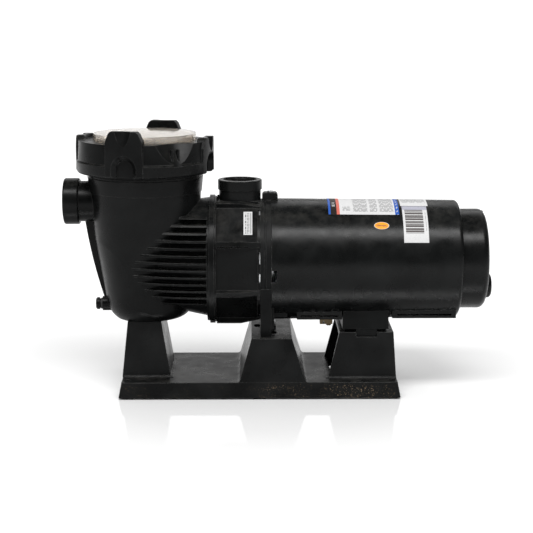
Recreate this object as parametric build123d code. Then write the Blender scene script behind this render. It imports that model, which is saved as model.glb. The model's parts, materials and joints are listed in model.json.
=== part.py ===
from build123d import *
from math import cos, degrees, radians
import os

# Pool pump with a strainer pot, a diffuser pump end and a close-coupled electric motor on a
# moulded base. Millimetres. +X runs along the shaft towards the motor's rear, +Z is up, and
# the origin is the middle of the base's four bolt holes, at floor level.

# ---------------------------------------------------------------- driving dimensions
AXIS_Z = 174.5            # height of the shaft
FIT = 0.3                 # gap between neighbours that move apart
RUNNING = 0.05            # radial clearance of a running fit
PORT_BORE_R = 22.7        # 1 1/2 inch female pipe thread, mean radius
PORT_DEPTH = 30.0         # threaded length of a port
PORT_THROAT_R = 21.0      # waterway behind the thread

BASE_X = 187.0            # half length of the base at its lip
BASE_Y = 83.4             # half width of the base at its lip
BASE_DRAFT_X = 4.0        # how much each end of the skirt leans in over its height
BASE_DRAFT_Y = 3.0        # how much each side of the skirt leans in over its height
BASE_TOP = 22.6           # height of the base's deck
BASE_LIP = 2.0            # height of the skirt's lower edge
BASE_WALL = 3.0
BASE_HOLE_X = 176.5       # half spacing of the bolt holes along X
BASE_HOLE_Y = 68.0        # half spacing of the bolt holes along Y
BASE_HOLE_R = 4.5
CENTRE_TOP = 80.0         # height of the centre pedestal
CENTRE_TOP_Y = 72.0       # its half width there, on the plane of the skirt's sides
REAR_TOP = 83.2           # height of the rear pedestal
REAR_NOTCH = (129.2, 157.4, 77.0)   # notch for the saddle's tongue: X from, X to, Z from
PLINTH = 3.0              # how far a pedestal's plinth stands out
TOE_BOLT_X = 14.8         # bolt through the bracket's toe
FOOT_SCREWS = [(8.4, -46), (8.4, 46)]                 # screws from below into the bracket's foot
SLOTS = [(-2.5, 4, 9, 17), (19, -36.7, 8, 14)]        # spare slots: x, y, width, length

POT_X = -152.4            # axis of the strainer pot
POT_BOTTOM = 96.5
POT_BAND = 267.0          # lower edge of the thicker band
POT_RIM = 322.0           # top of the rim
RIM_R = 76.0              # outside radius of the rim inside the lock ring
POT_SLOPE = 0.0887        # growth of the pot's radius per millimetre of height
POT_R_LOW = 59.5          # outer radius at the bottom
POT_LEAN = 4.7            # lean of the lower part's back wall, degrees
POT_HIP = 215.0           # height above which the pot doesn't lean
POT_WALL = 5.0
MOUTH_R = 71.5            # inside radius above the basket's ledge
LEDGE_Z = 286.0           # ledge that carries the basket

FLANGE_X = -57.0          # face between the pot housing and the volute
FLANGE_R = 87.0
SUCTION_X = -261.5        # face of the suction port
SUCTION_Z = 253.5
SUCTION_COLLAR_R = 31.0
DISCHARGE_COLLAR_R = 29.6
DRAIN_Z = 113.0
DRAIN_X = -213.0          # face of the drain boss
DRAIN_R = 5.8             # drain plug's shank
DISCHARGE_X = -25.8
DISCHARGE_Z = 283.0       # face of the discharge port

VOLUTE_R = 83.4           # corners of the eight-sided casing
VOLUTE_RIM_R = 81.4
FIN_AXIS_Z = 176.4        # the fins' rounded envelope is centred a little above the shaft
VOLUTE_BORE_R = 74.0
VOLUTE_END = 1.2
RIB_R = 88.5
BRACKET_X0 = 1.3
BRACKET_X1 = 15.6
BRACKET_R = 81.4
BRACKET_Y = 61.0          # half width of the bracket's foot

SHELL_X0 = 15.9
SHELL_X1 = 267.5
SHELL_R0 = 81.9           # shell radius at the pump end
SHELL_R1 = 79.3           # shell radius at the rear
SHELL_WALL = 3.0
CAP_X1 = 304.6
CAP_R = 67.3
GLAND_Z = 138.5
GLAND_Y = -8.0
GLAND_R = 16.8
GLAND_X1 = 313.9

BEARING_R = 20.0          # 6203 ball bearing, 17 x 40 x 12
BEARING_W = 12.0
JOURNAL_R = 8.5
BEARING_FRONT_X = 20.0
BEARING_REAR_X = 203.0
STATOR_X0 = 70.0
STATOR_X1 = 160.0
STATOR_R = 62.5
STATOR_BORE_R = 41.2
ROTOR_R = 40.6
FRAME_R = 65.5            # motor frame tube, outside
FRAME_X0 = 34.0
FRAME_X1 = 200.0
BELL_R = 72.6             # end bells, outside
TIE_PITCH_R = 69.2        # circle of the four tie bolts
TIE_R = 2.2

RING_R = 91.7             # lock ring's skirt
RING_BORE_R = 79.2
RING_Z0 = 294.5
RING_Z1 = 337.0
TALL_TAB_Z = 355.0        # the front and rear grip tabs
LOW_TAB_Z = 342.0         # the tabs between them
RING_TAB_R = 92.0
RING_TURN = 14.0          # first tab's azimuth before the -X axis, degrees
LENS_R = 68.4
LENS_EDGE_Z = 345.6       # upper edge of the lens, and its middle below
LENS_TOP_Z = 347.6


# ---------------------------------------------------------------- small helpers
def block(x0, x1, y0, y1, z0, z1):
    """Box between two corners."""
    return Pos((x0 + x1) / 2, (y0 + y1) / 2, (z0 + z1) / 2) * Box(x1 - x0, y1 - y0, z1 - z0)


def drum(x0, x1, radius, y=0.0, z=AXIS_Z):
    """Cylinder lying along X."""
    return Pos((x0 + x1) / 2, y, z) * Rot(0, 90, 0) * Cylinder(radius, x1 - x0)


def tube(x0, x1, outer, inner, y=0.0, z=AXIS_Z):
    """Ring or pipe lying along X."""
    return drum(x0, x1, outer, y, z) - drum(x0 - 1, x1 + 1, inner, y, z)


def post(x, y, z0, z1, radius):
    """Cylinder standing along Z."""
    return Pos(x, y, (z0 + z1) / 2) * Cylinder(radius, z1 - z0)


def across(x, y0, y1, z, radius):
    """Cylinder lying along Y."""
    return Pos(x, (y0 + y1) / 2, z) * Rot(90, 0, 0) * Cylinder(radius, y1 - y0)


def lathe_x(outline, radius=0.0):
    """Turn an outline of (x, distance from the shaft) points about the shaft."""
    points = [(x, 0, AXIS_Z + r) for x, r in outline]
    wire = FilletPolyline(*points, radius=radius, close=True)
    return revolve(make_face(wire), Axis((0, 0, AXIS_Z), (1, 0, 0)), 360)


def lathe_z(x, outline, radius=0.0):
    """Turn an outline of (distance from the axis, z) points about a vertical axis at x."""
    points = [(x + r, 0, z) for r, z in outline]
    wire = FilletPolyline(*points, radius=radius, close=True)
    return revolve(make_face(wire), Axis((x, 0, 0), (0, 0, 1)), 360)


def hopper(foot, z0, head, z1):
    """Tapered box; foot and head are (x0, x1, half width)."""
    sections = []
    for (x0, x1, half), z in ((foot, z0), (head, z1)):
        sections.append(Pos((x0 + x1) / 2, 0, z) * Rectangle(x1 - x0, 2 * half))
    return loft(sections)


def around_shaft(shape, angle):
    """Turn a shape about the shaft; 0 degrees is straight up, positive towards +Y."""
    return Pos(0, 0, AXIS_Z) * Rot(-angle, 0, 0) * Pos(0, 0, -AXIS_Z) * shape


def around_pot(shape, azimuth):
    """Turn a shape about the pot's axis; azimuth is counted from +X."""
    return Pos(POT_X, 0, 0) * Rot(0, 0, azimuth) * Pos(-POT_X, 0, 0) * shape


def hex_head(x, y, z0, z1, flats):
    """Hexagonal bolt head standing along Z."""
    hexagon = RegularPolygon(flats / 2, 6, major_radius=False)
    return Pos(x, y, z0) * extrude(hexagon, z1 - z0)


def hex_drum(x0, x1, flats, y=0.0, z=AXIS_Z):
    """Hexagonal head or nut lying along X."""
    hexagon = RegularPolygon(flats / 2, 6, major_radius=False)
    return Pos(x0, y, z) * Rot(0, 90, 0) * extrude(hexagon, x1 - x0)


def group(shapes):
    """Several separate solids of one node."""
    return Compound(children=list(shapes))


def pot_radius(z):
    """Outside radius of the pot, which tapers down to its bottom."""
    return POT_R_LOW + POT_SLOPE * (z - POT_BOTTOM)


# ---------------------------------------------------------------- base
def pedestals(inset):
    """The three pedestals, each moved in by the inset on every side."""
    low = BASE_TOP - BASE_WALL if inset else BASE_TOP - 1
    left = hopper((-184 + inset, -119 - inset, 48 - inset), low,
                  (-174 + inset, -135 - inset, 40 - inset), 118 - inset)
    slope = (BASE_Y - CENTRE_TOP_Y) / (CENTRE_TOP - BASE_LIP)
    foot_y = BASE_Y - slope * (low - BASE_LIP) - 0.1
    centre = hopper((-27 + inset, 61 - inset, foot_y - inset), low,
                    (-10.7 + inset, 43 - inset, CENTRE_TOP_Y - inset), CENTRE_TOP - 1.3 * inset)
    rear = hopper((91.7 + inset, 183 - inset, 56 - inset), low,
                  (106.9 + inset, 179.2 - inset, 50 - inset), REAR_TOP - inset)
    return left, centre, rear


def base_form():
    """Outside of the base: the skirt, the plinths and the pedestals, with rounded channels between."""
    deck = hopper((-BASE_X, BASE_X, BASE_Y), BASE_LIP,
                  (-BASE_X + BASE_DRAFT_X, BASE_X - BASE_DRAFT_X, BASE_Y - BASE_DRAFT_Y), BASE_TOP)
    deck = fillet(deck.edges().filter_by(lambda e: abs(e.tangent_at(0.5).Z) > 0.5), 4)
    left, centre, rear = pedestals(0)
    solid = deck + centre
    corners = solid.edges().filter_by(lambda e: abs(e.center().Z - BASE_TOP) < 0.1 and abs(e.center().X) < 70
                                      and abs(e.tangent_at(0.5).Y) > 0.99)
    solid = fillet(corners, 5)
    solid += block(-183, -119 + PLINTH, -48 - PLINTH, 48 + PLINTH, BASE_TOP - 1, BASE_TOP + 1.2)
    solid += block(91.7 - PLINTH, 183, -56 - PLINTH, 56 + PLINTH, BASE_TOP - 1, BASE_TOP + 1.2)
    return solid + left + rear


def bolt_foot(x, y, length, width):
    """Solid foot in a corner of the skirt's inside, reaching the floor."""
    side_x, side_y = x / abs(x), y / abs(y)
    end_x, end_y = side_x * (BASE_X - BASE_DRAFT_X - 0.2), side_y * (BASE_Y - BASE_DRAFT_Y - 0.2)
    across_x = sorted((end_x, end_x - side_x * length))
    across_y = sorted((end_y, end_y - side_y * width))
    return block(*across_x, *across_y, 0, BASE_TOP - 1)


def base():
    solid = base_form()
    solid -= hopper((-BASE_X + BASE_WALL, BASE_X - BASE_WALL, BASE_Y - BASE_WALL), 0,
                    (-BASE_X + BASE_WALL + BASE_DRAFT_X, BASE_X - BASE_WALL - BASE_DRAFT_X,
                     BASE_Y - BASE_WALL - BASE_DRAFT_Y), BASE_TOP - BASE_WALL)
    for pocket in pedestals(BASE_WALL):
        solid -= pocket
    solid -= hopper((80, 120, 52), BASE_TOP + 1.2, (95, 120, 46), REAR_TOP - BASE_WALL)
    for x in (-112, -72, -30, 64, 88):
        solid += block(x - 1.25, x + 1.25, -BASE_Y + 4, BASE_Y - 4, 8, BASE_TOP - 2)
    for x in (-BASE_HOLE_X, BASE_HOLE_X):
        for y in (-BASE_HOLE_Y, BASE_HOLE_Y):
            hole = post(x, y, -1, BASE_TOP + 2, BASE_HOLE_R)
            solid = solid + bolt_foot(x, y, 15, 22) - hole
    middle_y = BASE_Y - BASE_DRAFT_Y - 0.4
    for y0, y1 in ((-middle_y, -middle_y + 9), (middle_y - 9, middle_y)):
        solid += block(-8, 8, y0, y1, 0, BASE_TOP - 1)
    x0, x1, z0 = REAR_NOTCH
    solid -= block(x0, x1, -60, 60, z0, REAR_TOP + 1)
    for x, y in [(TOE_BOLT_X, 0), *FOOT_SCREWS]:
        solid -= post(x, y, CENTRE_TOP - 10, CENTRE_TOP + 1, 4.2)
    for x, y, width, length in SLOTS:
        solid -= Pos(x, y, CENTRE_TOP - 3) * extrude(SlotOverall(length, width, rotation=90), 8, both=True)
    for y in (-30, 30):
        solid -= post(142, y, REAR_TOP - 14, REAR_TOP + 1, 3.2)
    return solid - post(POT_X, 0, POT_BOTTOM, 2 * POT_BOTTOM, 75)


# ---------------------------------------------------------------- strainer pot
def leaning_form():
    """Space that the pot may fill: below the hip it follows a slightly wider pot that leans."""
    low, high, slack = POT_BOTTOM - 5, POT_HIP + 45, 2.0
    outline = [(0, low), (pot_radius(low) + slack, low), (pot_radius(high) + slack, high), (0, high)]
    form = Pos(slack, 0, 0) * lathe_z(POT_X, outline, [0, 34, 0, 0])
    leaned = Pos(POT_X, 0, POT_HIP) * Rot(0, -POT_LEAN, 0) * Pos(-POT_X, 0, -POT_HIP) * form
    return leaned + block(POT_X - 90, POT_X + 90, -90, 90, high - 10, POT_RIM + 10)


def pot_body():
    """Tapered pot with a rounded bottom, whose lower back wall leans a little more."""
    outline = [(0, POT_BOTTOM), (POT_R_LOW, POT_BOTTOM), (pot_radius(291), 291), (RIM_R, 291),
               (RIM_R, POT_RIM), (0, POT_RIM)]
    return lathe_z(POT_X, outline, [0, 19, 0, 0, 0, 0]) & leaning_form()


def pot_hollow():
    """Inside of the pot: a tapered well, the basket's ledge and the mouth."""
    floor = POT_BOTTOM + POT_WALL
    hip_r = pot_radius(POT_HIP) - POT_WALL
    outline = [(0, floor), (46, floor), (hip_r, POT_HIP), (hip_r + 3, LEDGE_Z), (MOUTH_R, LEDGE_Z),
               (MOUTH_R, POT_RIM + 1), (0, POT_RIM + 1)]
    return lathe_z(POT_X, outline, [0, 10, 0, 0, 0, 0, 0])


def fins():
    """Thirteen level fins between the pot and the flange, inside a rounded envelope."""
    left, right = -172, -69
    low, middle, high = FIN_AXIS_Z + 62.8, FIN_AXIS_Z + 76.2, FIN_AXIS_Z + 84.5
    arc = ThreePointArc((left, 0, low), (-135, 0, middle), (right, 0, high))
    sides = Polyline(arc @ 1, (right, 0, FIN_AXIS_Z), (left, 0, FIN_AXIS_Z), arc @ 0)
    envelope = revolve(make_face([arc, *sides.edges()]), Axis((0, 0, FIN_AXIS_Z), (1, 0, 0)), 360)
    first, pitch, thick = 123.9, 9.45, 2.6
    slabs = [block(-180, -60, -90, 90, first + pitch * i, first + pitch * i + thick) for i in range(13)]
    return envelope & (Part() + slabs)


def strainer_pot():
    solid = pot_body()
    solid += lathe_z(POT_X, [(60, POT_BAND), (pot_radius(POT_BAND) + 0.9, POT_BAND + 1.2),
                             (pot_radius(288) + 0.9, 288), (74, 292), (60, 292)])
    solid += lathe_x([(-152, 0), (-152, 60), (-96, 71.5), (-64, 78.2), (-64, 0)])
    solid += fins()
    crown = lathe_x([(-130, 0), (-130, 72), (-96, 80), (-64, 84.3), (-64, 0)])
    solid += crown & block(-131, -64, -75, 75, 238.5, 270)
    solid += lathe_x([(-69.5, 60), (-69.5, 83.5), (-66, 84), (-66, FLANGE_R), (-59.4, FLANGE_R),
                      (-59.4, FLANGE_R - 1.6), (FLANGE_X, FLANGE_R - 1.6), (FLANGE_X, 60)])
    # suction port with its collar and the gusset under it
    solid += drum(SUCTION_X + 4, POT_X - 40, 27.3, z=SUCTION_Z)
    collar = drum(SUCTION_X, SUCTION_X + 21, SUCTION_COLLAR_R, z=SUCTION_Z)
    solid += fillet(collar.edges().filter_by(GeomType.CIRCLE), 2.5)
    edge = ThreePointArc((-234.6, 0, 230), (-224.2, 0, 173), (-209.6, 0, 119.5))
    sides = Polyline(edge @ 1, (-199, 0, 119.5), (-199, 0, 240), edge @ 0)
    gusset = make_face([edge, *sides.edges()])
    solid += Pos(0, 2.5, 0) * extrude(gusset, 5, dir=(0, -1, 0))
    # drain boss, and lugs that the lock ring turns under
    solid += drum(DRAIN_X, -190, 9.8, z=DRAIN_Z)
    for k in range(4):
        lug = block(POT_X + 73, POT_X + 78.2, -9, 9, 306, 312)
        solid += around_pot(lug, 45 + 90 * k)
    # waterways
    solid -= pot_hollow()
    solid -= lathe_x([(-141, 0), (-141, 57.3), (-72, 71), (FLANGE_X + 1, 71), (FLANGE_X + 1, 0)])
    solid -= drum(SUCTION_X - 1, SUCTION_X + PORT_DEPTH, PORT_BORE_R, z=SUCTION_Z)
    solid -= drum(SUCTION_X, POT_X, PORT_THROAT_R, z=SUCTION_Z)
    solid -= drum(DRAIN_X - 1, POT_X, DRAIN_R + FIT, z=DRAIN_Z)
    return solid


def strainer_basket():
    """Slotted basket with a rim, a window towards the suction port and a bail handle."""
    top, bottom, wall = LEDGE_Z + 0.4, 124.0, 2.0
    top_r, bottom_r = 64.0, 47.6
    solid = lathe_z(POT_X, [(0, bottom), (bottom_r, bottom), (top_r, top), (70.9, top), (70.9, top + 2.6),
                            (top_r - wall, top + 2.6), (bottom_r - wall, bottom + wall), (0, bottom + wall)])
    slots = []
    for k in range(18):
        for z0, z1 in ((134, 172), (180, 218), (262, 278)):
            cut = block(POT_X + 40, POT_X + 72, -2.2, 2.2, z0, z1)
            slots.append(around_pot(cut, 10 + 20 * k))
    for k in range(8):
        slots.append(around_pot(block(POT_X + 12, POT_X + 40, -2.2, 2.2, bottom - 1, bottom + 5), 45 * k))
    solid -= slots
    solid -= drum(POT_X - 75, POT_X - 30, 24, z=SUCTION_Z - 4)
    foot_z, crown_z, span, thick = top + 1, 318.0, 62.5, 5.0
    outer = ThreePointArc((POT_X, -span, foot_z), (POT_X, 0, crown_z), (POT_X, span, foot_z))
    inner_top = (POT_X, 0, crown_z - thick)
    inner = ThreePointArc((POT_X, thick - span, foot_z), inner_top, (POT_X, span - thick, foot_z))
    ends = [Line(outer @ 0, inner @ 0), Line(outer @ 1, inner @ 1)]
    bail = extrude(make_face([outer, inner, *ends]), thick / 2, dir=(1, 0, 0), both=True)
    return solid + bail


def drain_plug():
    """Slotted plug with a collar over its seal."""
    head = drum(DRAIN_X - 9, DRAIN_X - 4, 8.2, z=DRAIN_Z)
    head = chamfer(head.edges().group_by(Axis.X)[0], 1.5)
    solid = head + drum(DRAIN_X - 4.1, DRAIN_X - 2.2, 6.8, z=DRAIN_Z)
    solid += drum(DRAIN_X - 2.3, DRAIN_X + 17, DRAIN_R, z=DRAIN_Z)
    return solid - block(DRAIN_X - 10, DRAIN_X - 6.5, -6, 6, DRAIN_Z - 1.2, DRAIN_Z + 1.2)


def drain_seal():
    return tube(DRAIN_X - 2.2, DRAIN_X - 0.3, 7.6, DRAIN_R, z=DRAIN_Z)


# ---------------------------------------------------------------- lid
def lid_lens():
    """Clear domed lid with a seat flange and radial stiffening ribs under the dome."""
    rise = LENS_TOP_Z - LENS_EDGE_Z
    dome_r = (LENS_R ** 2 + rise ** 2) / (2 * rise)
    foot = 326.4
    solid = post(POT_X, 0, foot, LENS_TOP_Z, LENS_R) + post(POT_X, 0, foot, foot + 4, 74.6)
    solid &= Pos(POT_X, 0, LENS_TOP_Z - dome_r) * Sphere(dome_r)
    hollow = post(POT_X, 0, foot - 1, LENS_TOP_Z, LENS_R - 4)
    hollow &= Pos(POT_X, 0, LENS_TOP_Z - dome_r - 4) * Sphere(dome_r)
    solid -= hollow
    rib = block(POT_X + 12, POT_X + 66, -1, 1, foot + 8, LENS_EDGE_Z - 3.5)
    solid += [around_pot(rib, 15 + 30 * k) for k in range(12)]
    hub = post(POT_X, 0, foot + 8, LENS_EDGE_Z - 2.5, 13) - post(POT_X, 0, foot + 7, LENS_EDGE_Z - 4, 10.5)
    return solid + hub


def lid_seal():
    return Pos(POT_X, 0, 324.2) * Torus(73.2, 2.19)


def ring_tab(top):
    """Grip tab on the +X side of the ring, with a rounded scoop in its top where it is tall."""
    shoulder = top - 14
    outline = Polyline((-25.5, RING_Z0 + 2), (-25.0, shoulder), (-20, top - 3), (-16.5, top), (16.5, top),
                       (20, top - 3), (25.0, shoulder), (25.5, RING_Z0 + 2), close=True)
    tab = extrude(Plane.YZ.offset(POT_X + 78) * make_face(outline), 18)
    tab &= post(POT_X, 0, RING_Z0, top, RING_TAB_R) - post(POT_X, 0, 300, top + 1, 80.5)
    tab = fillet(tab.edges().filter_by(lambda e: e.center().Z > top - 0.1), 1.5)
    radius, depth, tilt = 13.0, 7.0, 19.6
    centre_r = RING_TAB_R - depth + radius / cos(radians(tilt))
    scoop = Pos(POT_X + centre_r, 0, top) * Rot(0, -tilt, 0) * Cylinder(radius, 70)
    return tab - scoop


def ring_arch():
    """Arched opening under a tab on the +X side: a funnel that narrows to a straight mouth."""
    crown, wide, narrow = 305.5, 19.0, 11.5
    inner, outer = POT_X + 84.5, POT_X + RING_TAB_R + 0.5
    funnel = Pos((inner + outer) / 2, 0, crown) * Rot(0, 90, 0) * Cone(narrow, wide, outer - inner)
    foot = RING_Z0 - 1
    sections = []
    for x, half in ((inner, narrow), (outer, wide)):
        sections.append(Plane.YZ.offset(x) * Pos(0, (foot + crown) / 2) * Rectangle(2 * half, crown - foot))
    mouth = block(POT_X + 81.2, inner + 1, -narrow, narrow, foot, crown)
    return funnel + loft(sections) + mouth + drum(POT_X + 81.2, inner + 1, narrow, z=crown)


def ring_scallop():
    """Leaning round cut between two tabs: it breaks through the top edge and fades into the skirt."""
    radius, tilt = 52.0, 31.0
    centre_r = 74 + radius / cos(radians(tilt))
    cut = Pos(POT_X + centre_r, 0, RING_Z1) * Rot(0, -tilt, 0) * Cylinder(radius, 120)
    return cut & block(POT_X + 60, POT_X + 120, -45, 45, RING_Z0 + 14, RING_Z1 + 1)


def lock_ring():
    """Ring with a full skirt, a set-back wall, two tall and two low grip tabs and four scallops."""
    solid = lathe_z(POT_X, [(RING_BORE_R, RING_Z0), (RING_R - 1, RING_Z0), (RING_R, RING_Z0 + 15),
                            (89.5, RING_Z0 + 17), (88, RING_Z1), (69.3, RING_Z1),
                            (69.3, 330.8), (76, 330.8), (RING_BORE_R, 327)])
    solid = fillet(solid.edges().filter_by(GeomType.CIRCLE).group_by(Axis.Z)[0][-1:], 3)
    azimuths = [-RING_TURN - 90 * k for k in range(4)]
    for azimuth in azimuths:
        solid -= around_pot(ring_scallop(), azimuth + 45)
        for y in (-4.5, 4.5):
            rib = block(POT_X + 81, POT_X + 87, y - 1.2, y + 1.2, RING_Z0 + 13, RING_Z1 - 6.5)
            solid += around_pot(rib, azimuth + 45)
    for k, azimuth in enumerate(azimuths):
        solid += around_pot(ring_tab(TALL_TAB_Z if k % 2 else LOW_TAB_Z), azimuth)
        solid -= around_pot(ring_arch(), azimuth)
    return solid


# ---------------------------------------------------------------- pump end
def volute():
    """Eight-sided casing with a rib on each corner, the discharge port and an open round rim."""
    casing = extrude(Rot(0, 0, 22.5) * RegularPolygon(VOLUTE_R, 8), VOLUTE_END - 3 - FLANGE_X)
    solid = Pos(FLANGE_X, 0, AXIS_Z) * Rot(0, 90, 0) * casing + drum(VOLUTE_END - 4, VOLUTE_END, VOLUTE_RIM_R)
    for k in range(8):
        outline = Polyline((FLANGE_X, 0, AXIS_Z + 78), (FLANGE_X, 0, AXIS_Z + RIB_R),
                           (-25, 0, AXIS_Z + RIB_R), (VOLUTE_END, 0, AXIS_Z + 83),
                           (VOLUTE_END, 0, AXIS_Z + 80), close=True)
        rib = Pos(0, 3.5, 0) * extrude(make_face(outline), 7, dir=(0, -1, 0))
        solid += around_shaft(rib, 22.5 + 45 * k)
    solid += block(-54, -1, -24, 24, AXIS_Z + 70, AXIS_Z + 81.5)
    solid += post(DISCHARGE_X, 0, AXIS_Z + 70, DISCHARGE_Z - 5, 28)
    collar = post(DISCHARGE_X, 0, DISCHARGE_Z - 13, DISCHARGE_Z, DISCHARGE_COLLAR_R)
    solid += fillet(collar.edges().group_by(Axis.Z)[-1], 1.5)
    solid -= drum(FLANGE_X + 5, VOLUTE_END + 1, VOLUTE_BORE_R)
    solid -= drum(-0.6, VOLUTE_END + 1, 79.2)
    solid -= drum(FLANGE_X - 1, FLANGE_X + 6, 31.0)
    solid -= post(DISCHARGE_X, 0, DISCHARGE_Z - PORT_DEPTH, DISCHARGE_Z + 1, PORT_BORE_R)
    solid -= post(DISCHARGE_X, 0, AXIS_Z + 60, DISCHARGE_Z - PORT_DEPTH, PORT_THROAT_R)
    for side in (-1, 1):
        for low, high in ((55, 63), (5, 16), (-13, -4), (-64, -55)):
            middle = radians((low + high) / 2)
            width = 81 * radians(high - low)
            window = block(-2.4, VOLUTE_END + 1, 78, 90, -width / 2, width / 2)
            window = Pos(0, 0, AXIS_Z) * Rot(degrees(middle), 0, 0) * window
            solid -= window if side > 0 else mirror(window, Plane.XZ)
    return solid


def diffuser():
    """Stationary cup round the impeller with guide vanes and an inlet neck."""
    solid = lathe_x([(-55.5, 26), (-55.5, 29.4), (-47, 29.4), (-47, 57.5), (-10.1, 57.5), (-10.1, 54.5),
                     (-43.5, 54.5), (-43.5, 26)])
    for k in range(6):
        vane = block(-43.5, -10.1, -1.3, 1.3, AXIS_Z + 55, AXIS_Z + 72)
        vane = Pos(0, 0, AXIS_Z + 56) * Rot(48, 0, 0) * Pos(0, 0, -AXIS_Z - 56) * vane
        vane &= drum(-50, 0, 70.5)
        solid += around_shaft(vane, 60 * k)
        window = block(-40, -22, -9, 9, AXIS_Z + 50, AXIS_Z + 60)
        solid -= around_shaft(window, 60 * k + 24)
    return solid - drum(-43.5, 0, 54.5)


def wear_ring():
    return tube(-53, -44, 25.9, 23.6)


def impeller():
    """Closed impeller: two shrouds, six swept vanes, an eye ring and a long hub."""
    solid = tube(-27, -24, 52, 7.9) + tube(-41, -38.4, 52, 20.4)
    solid += tube(-50, -38.4, 23.5, 20.4)
    solid += tube(-44, -22, 11, 7.9)
    for k in range(6):
        vane = tube(-38.9, -26.5, 34, 31.8, y=30, z=AXIS_Z + 24)
        vane &= block(-45, -20, -30, 26, AXIS_Z + 16, AXIS_Z + 60)
        vane &= drum(-45, -20, 51.5)
        solid += around_shaft(vane, 60 * k)
    return solid


def seal_plate():
    """Plate that closes the casing and holds the shaft seal's fixed ring."""
    solid = tube(-10, -0.6, VOLUTE_BORE_R - 0.2, 15) + tube(-0.6, VOLUTE_END, 79.0, 10)
    solid += tube(-16, -10, 24, 15)
    return solid - Pos(-5, 0, AXIS_Z) * Rot(0, 90, 0) * Torus(VOLUTE_BORE_R - 1.6, 1.9)


def case_seal():
    return Pos(-5, 0, AXIS_Z) * Rot(0, 90, 0) * Torus(VOLUTE_BORE_R - 1.75, 1.7)


def seal_seat():
    return tube(-11, -2.4, 12.4, 9.2)


def seal_seat_boot():
    return tube(-9.6, -2.4, 14.9, 12.4) + tube(-2.4, -0.7, 14.9, 10.4)


def seal_head():
    """Carbon ring in its rubber bellows, turning with the shaft."""
    return tube(-15, -11.05, 12.2, 8.0) + tube(-17.6, -15, 10.6, 8.0)


def seal_spring():
    """Coil spring between the impeller hub and the carbon ring."""
    coil_r, wire_r, turns, pitch = 12.2, 0.8, 3, 1.74
    path = Helix(pitch, pitch * turns, coil_r)
    section = Plane(origin=path @ 0, z_dir=path % 0) * Circle(wire_r)
    coil = sweep(section, path)
    return Pos(-21.1, 0, AXIS_Z) * Rot(0, 90, 0) * coil


# ---------------------------------------------------------------- bracket
def bracket():
    """Plate between pump end and motor, with a broad foot on the centre pedestal."""
    solid = lathe_x([(BRACKET_X0, 18), (BRACKET_X0, BRACKET_R), (6, BRACKET_R), (6.6, BRACKET_R - 1.2),
                     (8.4, BRACKET_R - 1.2), (9, BRACKET_R), (BRACKET_X1, BRACKET_R), (BRACKET_X1, 18)])
    leg = make_face(Polyline((-BRACKET_Y, CENTRE_TOP), (BRACKET_Y, CENTRE_TOP),
                             (79, 148), (-79, 148), close=True))
    solid += extrude(Plane.YZ.offset(BRACKET_X0) * leg, BRACKET_X1 - BRACKET_X0)
    beyond = drum(0, 50, SHELL_R0 + 0.4)
    for y0, y1 in ((-BRACKET_Y, -52), (52, BRACKET_Y)):
        solid += block(BRACKET_X1 - 0.1, 19.2, y0, y1, CENTRE_TOP + 10, CENTRE_TOP + 52) - beyond
    solid += block(BRACKET_X1 - 0.1, 36.7, -52, 52, 104.6, 130) - beyond
    lug = block(4, 25, -9, 9, AXIS_Z + 76, 265.4)
    lug = fillet(lug.edges().filter_by(Axis.Y).group_by(Axis.Z)[-1], 4)
    solid += lug - drum(BRACKET_X1, 40, SHELL_R0 + 0.4)
    solid -= post(15, 0, 257, 267, 3.0)
    # toe with its bolt, in a pocket of the foot, and the two screws from below
    solid -= block(6, 20, -11, 11, CENTRE_TOP + 3, CENTRE_TOP + 18)
    solid += block(BRACKET_X1 - 0.1, 22.5, -9, 9, CENTRE_TOP, CENTRE_TOP + 3)
    solid -= post(TOE_BOLT_X, 0, CENTRE_TOP - 1, CENTRE_TOP + 4, 4.2)
    for x, y in FOOT_SCREWS:
        solid -= post(x, y, CENTRE_TOP - 1, CENTRE_TOP + 15, 4.0)
    for k in range(4):
        solid -= around_shaft(drum(0, 20, 2.6, z=AXIS_Z + TIE_PITCH_R), 45 + 90 * k)
    solid -= post(DISCHARGE_X, 0, 240, 290, 28 + FIT)
    return solid - drum(BRACKET_X1 - 2, BRACKET_X1 + 0.1, 34)


def bracket_bolts():
    """The toe's bolt and the foot's two screws, which come up from inside the pedestal."""
    roof = CENTRE_TOP - 3.9
    bolt = hex_head(TOE_BOLT_X, 0, CENTRE_TOP + 3, CENTRE_TOP + 8.5, 13)
    solids = [bolt + post(TOE_BOLT_X, 0, CENTRE_TOP - 12, CENTRE_TOP + 4, 4)]
    for x, y in FOOT_SCREWS:
        solids.append(hex_head(x, y, roof - 5, roof, 13) + post(x, y, roof - 1, CENTRE_TOP + 14, 4))
    return group(solids)


def bracket_nuts():
    """Nut of the toe's bolt, under the pedestal's roof."""
    nut = hex_head(TOE_BOLT_X, 0, CENTRE_TOP - 10.4, CENTRE_TOP - 3.9, 13)
    return nut - post(TOE_BOLT_X, 0, CENTRE_TOP - 13, CENTRE_TOP, 4)


def top_screw():
    return post(15, 0, 258, 265.4, 2.9) + post(15, 0, 265.4, 267.2, 4.2)


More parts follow.
